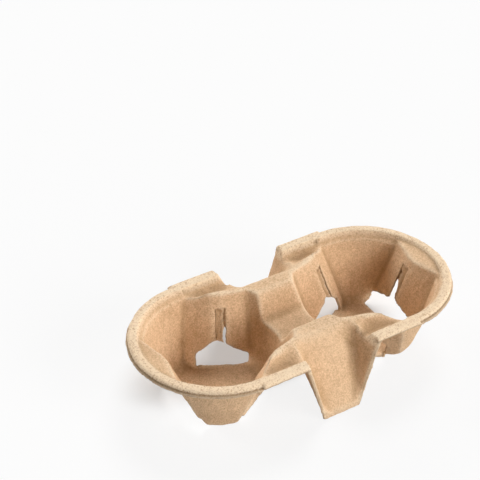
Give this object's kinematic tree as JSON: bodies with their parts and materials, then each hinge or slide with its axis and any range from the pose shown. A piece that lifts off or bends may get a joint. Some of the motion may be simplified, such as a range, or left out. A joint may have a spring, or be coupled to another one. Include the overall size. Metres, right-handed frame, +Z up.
{
  "type": "cup carrier tray",
  "caption": "Moulded pulp tray that carries two paper cups side by side in tapered pockets with gripping fingers.",
  "frame": {"origin": "on the ground under the middle of the tray", "axes": "+X along the tray from cup to cup, +Y across it, +Z up"},
  "size_m": [0.2164, 0.111, 0.047],
  "materials": {
    "pulp": "rough matt moulded pulp, unbleached"
  },
  "bodies": {
    "root": {"moulded_tray": "pulp"}
  },
  "joints": []
}
